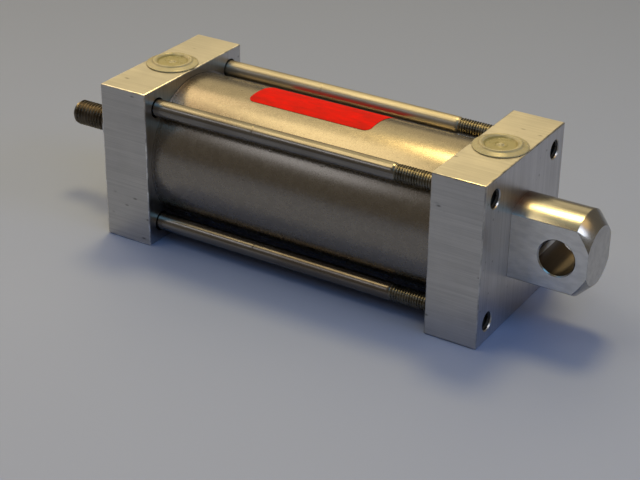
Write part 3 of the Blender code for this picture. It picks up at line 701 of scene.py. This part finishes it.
def dress(name, mesh, body, materials, choose=None, sharp=32.0):
    """Puts a finished piece in place of the CAD node of the same name.

    `choose` gives each face its slot among the materials; without it, all faces take the first.
    Edges sharper than `sharp` degrees stay sharp, and the rest is shaded smooth.
    """
    mesh.materials.clear()
    for material in materials:
        mesh.materials.append(material)
    for face in mesh.polygons:
        face.material_index = choose(face) if choose else 0
    mesh.name = name + "_look"
    mesh.shade_smooth()
    mesh.set_sharp_from_angle(angle=math.radians(sharp))
    thing = added(name + "_look", mesh)
    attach(thing, body)
    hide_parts(name)


# ---------------------------------------------------------------- heads

# Material slots of the heads' faces
SIDE_SLOT, END_SLOT, HIGHLIGHT_EDGE_SLOT, HOLE_SHADE_SLOT = range(4)
SMOOTH_ACROSS = 0.98            # a normal this close to an axis belongs to a plain face


def counterbored_hole(y, z):
    """Counterbored clearance hole of the front head, its edges lightly chamfered."""
    return plain_turned([
        (COUNTERBORE_RADIUS + HOLE_CHAMFER + CUT_PAST, -CUT_PAST),
        (COUNTERBORE_RADIUS, HOLE_CHAMFER), (COUNTERBORE_RADIUS, COUNTERBORE_DEPTH),
        (BOLT_HOLE_RADIUS, COUNTERBORE_DEPTH), (BOLT_HOLE_RADIUS, HEAD_THICK - BOLT_HOLE_CHAMFER),
        (BOLT_HOLE_RADIUS + BOLT_HOLE_CHAMFER + CUT_PAST, HEAD_THICK + CUT_PAST)],
        64, y, AXIS_HEIGHT + z)


def tapped_hole(y, z):
    """M8 tapped hole of the rear head: threaded where it is open, plain round the bolt."""
    count = 48
    opening = BOLT_END + 0.3
    rows = [round_row(INNER_REAR - CUT_PAST, TAPPED_HOLE_RADIUS, count),
            round_row(opening, TAPPED_HOLE_RADIUS, count)]
    rows += thread_rows(opening, OUTER_REAR - 0.5, BOLT_RADIUS, BOLT_PITCH, count,
                        TAPPED_HOLE_RADIUS, TAPPED_HOLE_RADIUS, 0.4)
    rows += [round_row(OUTER_REAR - TAPPED_HOLE_RIM, TAPPED_HOLE_RADIUS, count),
             round_row(OUTER_REAR + CUT_PAST, TAPPED_HOLE_RADIUS + TAPPED_HOLE_FLARE, count)]
    return turned_mesh(rows, y, AXIS_HEIGHT + z)


def port_hole(along):
    """Threaded air port, from above the head down to its floor."""
    count = 64
    rows = [round_row(-PORT_DEPTH, PORT_CORE_RADIUS, count),
            round_row(PORT_THREAD_START, PORT_CORE_RADIUS, count)]
    rows += thread_rows(PORT_THREAD_START, PORT_THREAD_END, PORT_THREAD_RADIUS, PORT_PITCH, count,
                        PORT_CORE_RADIUS, PORT_MOUTH_RADIUS, 0.8)
    rows += [round_row(PORT_THREAD_END + 0.05, PORT_MOUTH_RADIUS, count),
             round_row(PORT_CUT_PAST, PORT_MOUTH_RADIUS + PORT_FLARE, count)]
    return stood_up(turned_mesh(rows, 0.0, 0.0), along)


def head_face(face):
    """The slot of a head's face: end, side, edge with a painted highlight, or bolt hole wall
    painted dark as shade.
    """
    across = max(abs(value) for value in face.normal)
    if abs(face.normal.x) > SMOOTH_ACROSS:
        return END_SLOT
    rim = at(OUTER_REAR - TAPPED_HOLE_RIM + 0.01).x
    # Walls of the bolt holes take the painted shade.
    for y, z in BOLT_PLACES:
        reach = math.hypot(face.center.y / MM - y, face.center.z / MM - AXIS_HEIGHT - z)
        if reach < BOLT_HOLE_RADIUS + 0.1 and face.center.x < rim:
            return HOLE_SHADE_SLOT
    side = max(abs(face.center.y), abs(face.center.z - AXIS_HEIGHT * MM))
    # Faces of the rounded edges take the painted highlight.
    painted_highlight_edge = across < SMOOTH_ACROSS and side > (AXIS_HEIGHT - EDGE_ROUNDING - 0.05) * MM
    return HIGHLIGHT_EDGE_SLOT if painted_highlight_edge else SIDE_SLOT


def head(name, start, face, inward, edge, cuts):
    """A square head with its spigot and air port.

    Its inner face is at `face`, and the tube is on the `inward` side of it, 1 or -1 along X.
    """
    half = HEAD_SIDE / 2
    block = box_mesh((start, -half, 0), (start + HEAD_THICK, half, HEAD_SIDE))
    block = bevelled(block, EDGE_ROUNDING)
    tight = TUBE_RADIUS + TUBE_SEAT_PLAY
    mouth = face - inward * SEAT_MOUTH_DEPTH
    outline = [(tight, face - inward * TUBE_SEAT_DEPTH), (tight, mouth),
               (SEAT_MOUTH_RADIUS, mouth),
               (TUBE_SEAT_RADIUS + CUT_PAST, face + inward * CUT_PAST)]
    if inward < 0:
        outline.reverse()
    spigot = sorted((face - inward * SPIGOT_ROOT, face + inward * SPIGOT_LENGTH))
    changes = [("DIFFERENCE", plain_turned(outline, 192)),
               ("UNION", plain_turned([(SPIGOT_RADIUS, s) for s in spigot], 96)),
               ("DIFFERENCE", port_hole(start + HEAD_THICK / 2))]
    changes += [("DIFFERENCE", tool) for tool in cuts]
    mesh = carved(block, *changes)
    # The rounded edges take `edge`, the material with the painted highlight.
    dress(name, mesh, "barrel", [MILLED_SIDE, MILLED_END, edge, HOLE_WALL_SHADE],
          head_face, sharp=20)


def front_head():
    """The head that the rod comes out of."""
    bore = plain_turned([(GLAND_SEAT_RADIUS + HOLE_CHAMFER + CUT_PAST, -CUT_PAST),
                         (GLAND_SEAT_RADIUS, HOLE_CHAMFER), (GLAND_SEAT_RADIUS, GLAND_SEAT_DEPTH),
                         (BUSH_RADIUS, GLAND_SEAT_DEPTH),
                         (BUSH_RADIUS, HEAD_THICK + SPIGOT_LENGTH + CUT_PAST)], 96)
    cuts = [bore] + [counterbored_hole(y, z) for y, z in BOLT_PLACES]
    head("front_head", 0.0, HEAD_THICK, 1, FRONT_EDGE_HIGHLIGHT, cuts)


def rear_head():
    """The head that carries the eye."""
    spigot_end = INNER_REAR - SPIGOT_LENGTH
    web = INNER_REAR + HEAD_THICK - SCREW_WEB
    nut_recess = plain_turned([(NUT_RECESS_RADIUS, spigot_end - CUT_PAST),
                               (NUT_RECESS_RADIUS, spigot_end + NUT_RECESS_DEPTH),
                               (SCREW_RECESS_RADIUS, spigot_end + NUT_RECESS_DEPTH),
                               (SCREW_RECESS_RADIUS, web), (SCREW_HOLE_RADIUS, web),
                               (SCREW_HOLE_RADIUS, OUTER_REAR + CUT_PAST)], 64)
    cuts = [nut_recess] + [tapped_hole(y, z) for y, z in BOLT_PLACES]
    head("rear_head", INNER_REAR, INNER_REAR, -1, REAR_EDGE_HIGHLIGHT, cuts)


# ---------------------------------------------------------------- tube, bolts and label


def barrel_tube():
    """The tube, its outer edges lightly rounded."""
    lip = TUBE_RADIUS - 0.5
    outer = rounded([(lip, TUBE_START), (TUBE_RADIUS, TUBE_START), (TUBE_RADIUS, TUBE_END),
                     (lip, TUBE_END)], 0.35)
    inner = [(BORE_RADIUS, TUBE_START), (BORE_RADIUS, TUBE_END)]
    dress("barrel_tube", hollow_turned(outer, inner, 256), "barrel", [TUBE])


def tie_bolt(number, y, z):
    """One socket head bolt: head, bright shank with a faint ring, rolled thread."""
    count = 48
    under = BOLT_TOP + BOLT_HEAD_HEIGHT
    thread_start = BOLT_END - BOLT_THREAD_LENGTH
    head_outline = rounded([(BOLT_HEAD_RADIUS - 2, BOLT_TOP), (BOLT_HEAD_RADIUS, BOLT_TOP),
                            (BOLT_HEAD_RADIUS, under), (BOLT_RADIUS, under),
                            (BOLT_RADIUS, under + 4)], 0.7)
    rows = outline_rows(head_outline, count)
    shank = [(BOLT_RADIUS, under + 5)]
    shank += [(BOLT_RADIUS - depth, BOLT_MARK_STATION + place) for place, depth in BOLT_MARK]
    shank += [(BOLT_RADIUS - depth, thread_start - place) for place, depth in BOLT_RUNOUT]
    rows += outline_rows(shank, count)
    rows += thread_rows(thread_start - 0.25, BOLT_END, BOLT_CREST_RADIUS, BOLT_PITCH, count,
                        BOLT_RUNOUT_RADIUS, BOLT_TIP_RADIUS)
    mesh = turned_mesh(rows, y, AXIS_HEIGHT + z)
    socket = plain_turned([(BOLT_SOCKET_RADIUS, BOLT_TOP - CUT_PAST),
                           (BOLT_SOCKET_RADIUS, BOLT_TOP + BOLT_SOCKET_DEPTH)],
                          6, y, AXIS_HEIGHT + z)
    mesh = carved(mesh, ("DIFFERENCE", socket))
    edge = at(thread_start - 0.6).x
    # The far bolts take the lighter copy, painted light for the lit tube they reflect.
    bar = FAR_BAR_LIT if y > 0 else BRIGHT
    dress(f"tie_bolt_{number}", mesh, "barrel", [bar, BOLT_THREAD],
          lambda face: 1 if face.center.x > edge else 0, sharp=40)


def label():
    """Thin film with rounded corners, wrapped on the tube over the CAD label's place."""
    low = math.acos(LABEL_LOW.y / MM / CAD_LABEL_RADIUS)
    high = math.acos(LABEL_HIGH.y / MM / CAD_LABEL_RADIUS)
    start, end = station(LABEL_LOW.x), station(LABEL_HIGH.x)
    width = LABEL_RADIUS * (low - high)
    rows, columns = 96, 24
    shape = bmesh.new()
    grid = []
    for i in range(rows + 1):
        across = width * 0.5 * (1 - math.cos(math.pi * i / rows))
        lip = min(across, width - across)
        inset = 0.0
        if lip < LABEL_CORNER:
            inset = LABEL_CORNER - math.sqrt(LABEL_CORNER ** 2 - (LABEL_CORNER - lip) ** 2)
        angle = low - across / LABEL_RADIUS
        y, height = LABEL_RADIUS * math.cos(angle), AXIS_HEIGHT + LABEL_RADIUS * math.sin(angle)
        line = []
        for j in range(columns + 1):
            along = start + inset + (end - start - 2 * inset) * j / columns
            line.append(shape.verts.new(at(along, y, height)))
        grid.append(line)
    for i in range(rows):
        for j in range(columns):
            shape.faces.new((grid[i][j], grid[i][j + 1], grid[i + 1][j + 1], grid[i + 1][j]))
    bmesh.ops.recalc_face_normals(shape, faces=shape.faces)
    thing = added("temporary", to_mesh(shape))
    skin = thing.modifiers.new("thickness", "SOLIDIFY")
    skin.thickness = LABEL_FILM * MM
    skin.offset = 1.0
    dress("label", applied(thing), "barrel", [RED])


# ---------------------------------------------------------------- rod end


def piston_rod():
    """The rod: threaded stud, shoulder with two spanner flats, and the piston's seat."""
    count = 64
    root = STUD_RADIUS - STUD_RELIEF
    relief = ROD_SHOULDER - STUD_RELIEF_LENGTH
    edge_radius = ROD_RADIUS - SHOULDER_CHAMFER
    rows = thread_rows(ROD_TIP, relief, STUD_RADIUS, STUD_PITCH, count,
                       STUD_RADIUS - STUD_CHAMFER, root, STUD_CHAMFER)
    rows += outline_rows([(root, relief + 0.1), (root, ROD_SHOULDER),
                          (edge_radius - 0.1, ROD_SHOULDER),
                          (edge_radius + 0.15, ROD_SHOULDER + 0.08),
                          (ROD_RADIUS, ROD_SHOULDER + SHOULDER_CHAMFER),
                          (ROD_RADIUS, PISTON_FACE), (PISTON_SEAT_RADIUS, PISTON_FACE),
                          (PISTON_SEAT_RADIUS, ROD_END - ROD_END_CHAMFER),
                          (PISTON_SEAT_RADIUS - ROD_END_CHAMFER, ROD_END)], count)
    flats = side_flats(ROD_FLAT_START, ROD_FLAT_START + ROD_FLAT_LENGTH, ROD_FLAT_HALF,
                       ROD_RADIUS + 3)
    edge = at(ROD_SHOULDER + 0.1).x
    dress("piston_rod", carved(turned_mesh(rows), *flats), "rod",
          [CHROME, STUD_THREAD], lambda face: 1 if face.center.x < edge else 0, sharp=40)


def rod_gland():
    """The gland screwed into the front head, with two spanner flats on its boss."""
    body = GLAND_SEAT_RADIUS - GLAND_PLAY
    bottom = GLAND_SEAT_DEPTH - GLAND_END_PLAY
    outer = rounded([(LIP_SEAT_RADIUS + 0.6, GLAND_TOP), (GLAND_BOSS_RADIUS, GLAND_TOP),
                     (GLAND_BOSS_RADIUS, HOLE_CHAMFER), (body, HOLE_CHAMFER), (body, bottom)], 0.6)
    inner = [(LIP_SEAT_RADIUS, GLAND_TOP), (LIP_SEAT_RADIUS, GLAND_TOP + LIP_SEAT_DEPTH),
             (BUSH_RADIUS, GLAND_TOP + LIP_SEAT_DEPTH), (BUSH_RADIUS, BUSH_END),
             (LIP_SEAT_RADIUS, BUSH_END), (LIP_SEAT_RADIUS, bottom)]
    flats = side_flats(GLAND_TOP - CUT_PAST, -3, GLAND_FLAT_HALF, GLAND_BOSS_RADIUS + 5)
    dress("rod_gland", carved(hollow_turned(outer, inner, 128), *flats), "barrel",
          [MILLED_END])


def rod_wiper():
    """The wiper in the gland's mouth, with two lips on the rod."""
    start, end = GLAND_TOP + 0.3, GLAND_TOP + 4.0
    seat = LIP_SEAT_RADIUS - 0.1
    outer = [(seat, start), (seat, end)]
    inner = [(ROD_RADIUS + 1.6, start), (ROD_RADIUS + 0.1, start + 0.2),
             (ROD_RADIUS + 1.2, start + 2.2), (ROD_RADIUS + 0.3, end)]
    dress("rod_wiper", hollow_turned(outer, inner, 96), "barrel", [RUBBER])


# ---------------------------------------------------------------- eye

# Material slots of the eye's faces
ROUND_SLOT, FLAT_SLOT, BORE_SHADE_SLOT, TIP_SLOT = range(4)


def eye_finish(face):
    """Milled flats and end face are duller than the turned bar and nose; the cross hole's wall is
    painted dark brown as shade.
    """
    if face.normal.x > SMOOTH_ACROSS:
        return TIP_SLOT
    if abs(face.normal.y) > SMOOTH_ACROSS:
        return FLAT_SLOT
    spot = face.center - at(EYE_HOLE_STATION)
    bored = math.hypot(spot.x, spot.z) < (EYE_HOLE_RADIUS + 0.1) * MM
    return BORE_SHADE_SLOT if bored else ROUND_SLOT


def rear_eye():
    """The pivot eye: a round bar with two flats, a turned nose and a cross hole."""
    start = OUTER_REAR + EYE_GAP
    bar = plain_turned([(EYE_RADIUS, start), (EYE_RADIUS, EYE_END - EYE_NOSE),
                        (EYE_RADIUS - EYE_NOSE, EYE_END)], 192)
    flats = side_flats(start - 3, EYE_END + 3, EYE_HALF_THICK, EYE_RADIUS + 3, past=5)
    wide = EYE_HOLE_RADIUS + EYE_HOLE_CHAMFER + CUT_PAST
    edge, outside = EYE_HALF_THICK - EYE_HOLE_CHAMFER, EYE_HALF_THICK + CUT_PAST
    hole = cross_mesh([(wide, -outside), (EYE_HOLE_RADIUS, -edge), (EYE_HOLE_RADIUS, edge),
                       (wide, outside)], EYE_HOLE_STATION, 128)
    mesh = bevelled(carved(bar, *flats), EYE_EDGE_ROUNDING, angle=25.0)
    mesh = carved(mesh, ("DIFFERENCE", hole))
    dress("rear_eye", mesh, "barrel", [EYE_ROUND, EYE_FLAT, EYE_BORE_SHADE, EYE_TIP],
          eye_finish, sharp=22)


# ---------------------------------------------------------------- port plugs


def port_plug(name, body, along):
    """Push-in plug: flange with a raised ring round a dished middle, and a ribbed stem."""
    top = PLUG_TOP
    face = rounded([(0.02, 1.25), (0.9, 1.25), (1.4, 0.75), (2.0, 0.70), (2.5, 0.95), (3.1, 0.70),
                    (6.4, 0.65), (7.4, top - 0.45), (8.2, top), (8.9, top), (9.5, top - 0.7),
                    (PLUG_RADIUS - 0.8, 0.80), (PLUG_RADIUS, 0.45), (PLUG_RADIUS, 0.05),
                    (PLUG_STEM_RADIUS, 0.05)], 0.35)
    stem = [(PLUG_STEM_RADIUS, -1.0)]
    for rib in range(PLUG_RIBS):
        low = -2.2 - rib * PLUG_RIB_PITCH
        stem += [(PLUG_STEM_RADIUS - 0.5, low), (PLUG_STEM_RADIUS, low - 0.9),
                 (PLUG_STEM_RADIUS - 0.5, low - 1.1)]
    stem += [(PLUG_STEM_RADIUS - 0.9, -PLUG_STEM_LENGTH), (PLUG_BORE_RADIUS, -PLUG_STEM_LENGTH),
             (PLUG_BORE_RADIUS, -0.4), (0.02, -0.4)]
    outline = (face + stem)[::-1]
    mesh = stood_up(plain_turned(outline, 96, 0.0, 0.0), along)
    centre = at(along)

    def shade_of(spot):
        """The thin dish is painted darker than the flange, the raised ring and the middle bump:
        shade of the dark port beneath.
        """
        reach = math.hypot(spot.center.x - centre.x, spot.center.y)
        return 1 if PLUG_BUMP_RADIUS * MM < reach < PLUG_DISH_RADIUS * MM else 0

    dress(name, mesh, body, [PLUG_RIM, PLUG_DISH_SHADE], shade_of)


# ---------------------------------------------------------------- pieces that keep their CAD mesh

INNER_FINISHES = {
    "tie_bolt_washer_1": BRIGHT, "tie_bolt_washer_2": BRIGHT, "tie_bolt_washer_3": BRIGHT,
    "tie_bolt_washer_4": BRIGHT, "rod_bush": BRONZE, "rod_seal": RUBBER, "gland_o_ring": RUBBER,
    "tube_seal_front": RUBBER, "tube_seal_rear": RUBBER, "bumper_front": RUBBER,
    "bumper_rear": RUBBER, "piston": MILLED_END, "piston_o_ring": RUBBER,
    "piston_seal_front": RUBBER, "piston_seal_rear": RUBBER, "piston_guide_ring": GUIDE,
    "piston_washer": BRIGHT, "piston_nut": BRIGHT, "eye_screw": BLACK_STEEL,
    "eye_dowel_pin": BRIGHT,
}


def inner_pieces():
    """Gives each hidden piece its material; their CAD meshes stay as they are."""
    for name, material in INNER_FINISHES.items():
        mesh = frame["nodes"][name].data
        mesh.materials.clear()
        mesh.materials.append(material)


# ---------------------------------------------------------------- studio

CAMERA_AZIMUTH = 31.46
CAMERA_ELEVATION = 27.90
CAMERA_ROLL = 0.76
CAMERA_DISTANCE = 727.8
CAMERA_TARGET = (93.13, 0.0, 6.20)      # station, y and height
LENS = 89.51
SENSOR_WIDTH = 36.0
CLIP_START = 10.0


def camera():
    """The camera, turned about its own view line by its roll."""
    azimuth, elevation = math.radians(CAMERA_AZIMUTH), math.radians(CAMERA_ELEVATION)
    back = Vector((math.sin(azimuth) * math.cos(elevation),
                   -math.cos(azimuth) * math.cos(elevation), math.sin(elevation)))
    right = Vector((0, 0, 1)).cross(back).normalized()
    up = back.cross(right)
    roll = math.radians(CAMERA_ROLL)
    turned_right = right * math.cos(roll) + up * math.sin(roll)
    turned_up = up * math.cos(roll) - right * math.sin(roll)
    data = bpy.data.cameras.new("camera")
    data.lens = LENS
    data.sensor_width = SENSOR_WIDTH
    data.clip_start = CLIP_START * MM
    thing = added("camera", data)
    place = at(*CAMERA_TARGET) + back * (CAMERA_DISTANCE * MM)
    axes = Matrix((turned_right, turned_up, back)).transposed().to_4x4()
    thing.matrix_world = Matrix.Translation(place) @ axes
    bpy.context.scene.camera = thing


FLOOR_HALF = 4000.0
FLOOR_DROP = 0.2
FLOOR_NEAR = (0.256, 0.322, 0.557)
FLOOR_NEAR_DARK, FLOOR_NEAR_LIGHT = (0.253, 0.318, 0.550), (0.259, 0.326, 0.564)
# Painted shade: the floor's colour far from the camera, darker as the light falls off there.
FLOOR_FAR_SHADE = (0.160, 0.207, 0.374)
FLOOR_AWAY = (-0.52, 0.85, 1.0)         # X and Y of the direction in which it darkens
FLOOR_SHADE_SPAN = (-0.05, 0.45)           # where, in metres that way, it starts and ends


def floor_paint():
    """Blue-grey paint, faintly clouded, with painted shade making it a little darker away from the
    camera.
    """
    paint = Paint("floor", FLOOR_NEAR, 0.0, 0.55)
    cloud = paint.noise((3, 3, 3), 3.0)
    tone = paint.blend(cloud, NOISE_SPAN, FLOOR_NEAR_DARK, FLOOR_NEAR_LIGHT)
    spot = paint.add("ShaderNodeSeparateXYZ", Vector=paint.place(FLOOR_AWAY))
    away = paint.math("ADD", spot.outputs["X"], spot.outputs["Y"])
    paint.link("Base Color", paint.blend(away, FLOOR_SHADE_SPAN, tone, FLOOR_FAR_SHADE))
    return paint.material


def floor():
    """A plain floor, just under the object."""
    shape = bmesh.new()
    bmesh.ops.create_grid(shape, x_segments=1, y_segments=1, size=FLOOR_HALF * MM)
    mesh = to_mesh(shape)
    mesh.materials.append(floor_paint())
    thing = added("floor", mesh)
    thing.location.z = -FLOOR_DROP * MM


WORLD_COLOUR = (0.165, 0.145, 0.115)
# Softboxes: direction from the object, distance, width and height in metres, red, green
# and blue power in watts
LIGHTS = {
    "low_back": ((-0.46, 0.75, 0.47), 2.8, 2.3, 1.2, (7.50, 6.00, 3.10)),
    "high_back": ((-0.46, 0.42, 0.78), 2.4, 1.8, 1.05, (6.80, 5.80, 3.20)),
    "left": ((-0.80, 0.15, 0.58), 1.6, 1.0, 0.8, (5.40, 3.80, 2.10)),
    "upper_left": ((-0.40, -0.10, 0.91), 1.6, 1.0, 0.6, (6.70, 5.40, 2.90)),
    "key": ((-0.13, 0.34, 0.93), 1.6, 0.36, 0.34, (11.20, 8.10, 3.05)),
    "overhead": ((0.05, 0.15, 0.98), 1.6, 0.9, 0.9, (0.40, 0.60, 0.50)),
    "cool_front": ((0.50, -0.40, 0.75), 1.6, 1.0, 0.8, (0.50, 1.70, 3.00)),
    "cool_right": ((0.82, 0.02, 0.57), 1.6, 0.5, 0.4, (2.40, 2.60, 3.10)),
    "front_left": ((-0.46, -0.66, 0.60), 1.6, 0.6, 0.3, (0.70, 0.74, 0.85)),
    "right_back": ((0.68, 0.38, 0.62), 1.6, 0.5, 0.4, (1.10, 0.70, 0.25)),
}


def lights():
    """The softboxes, each facing the middle of the cylinder."""
    centre = at(OUTER_REAR / 2)
    for name, (way, distance, width, height, power) in LIGHTS.items():
        data = bpy.data.lights.new(name, "AREA")
        data.shape = "RECTANGLE"
        data.size = width
        data.size_y = height
        data.energy = max(power)
        data.color = [value / max(power) for value in power]
        thing = added(name, data)
        direction = Vector(way).normalized()
        thing.location = centre + direction * distance
        thing.rotation_euler = direction.to_track_quat("Z", "Y").to_euler()


def world():
    """Dim, warm light from all round."""
    made = bpy.data.worlds.new("studio")
    bpy.context.scene.world = made
    made.use_nodes = True
    background = made.node_tree.nodes.get("Background")
    if background is None:
        background = made.node_tree.nodes.new("ShaderNodeBackground")
        output = made.node_tree.nodes.new("ShaderNodeOutputWorld")
        made.node_tree.links.new(background.outputs[0], output.inputs[0])
    background.inputs[0].default_value = (*WORLD_COLOUR, 1.0)
    background.inputs[1].default_value = 1.0


camera()
floor()
lights()
world()
bpy.context.scene.view_settings.view_transform = "Standard"

front_head()
rear_head()
barrel_tube()
for bolt_number, (bolt_y, bolt_z) in enumerate(BOLT_PLACES, 1):
    tie_bolt(bolt_number, bolt_y, bolt_z)
label()
piston_rod()
rod_gland()
rod_wiper()
rear_eye()
port_plug("front_port_plug", "front_plug", HEAD_THICK / 2)
port_plug("rear_port_plug", "rear_plug", INNER_REAR + HEAD_THICK / 2)
inner_pieces()
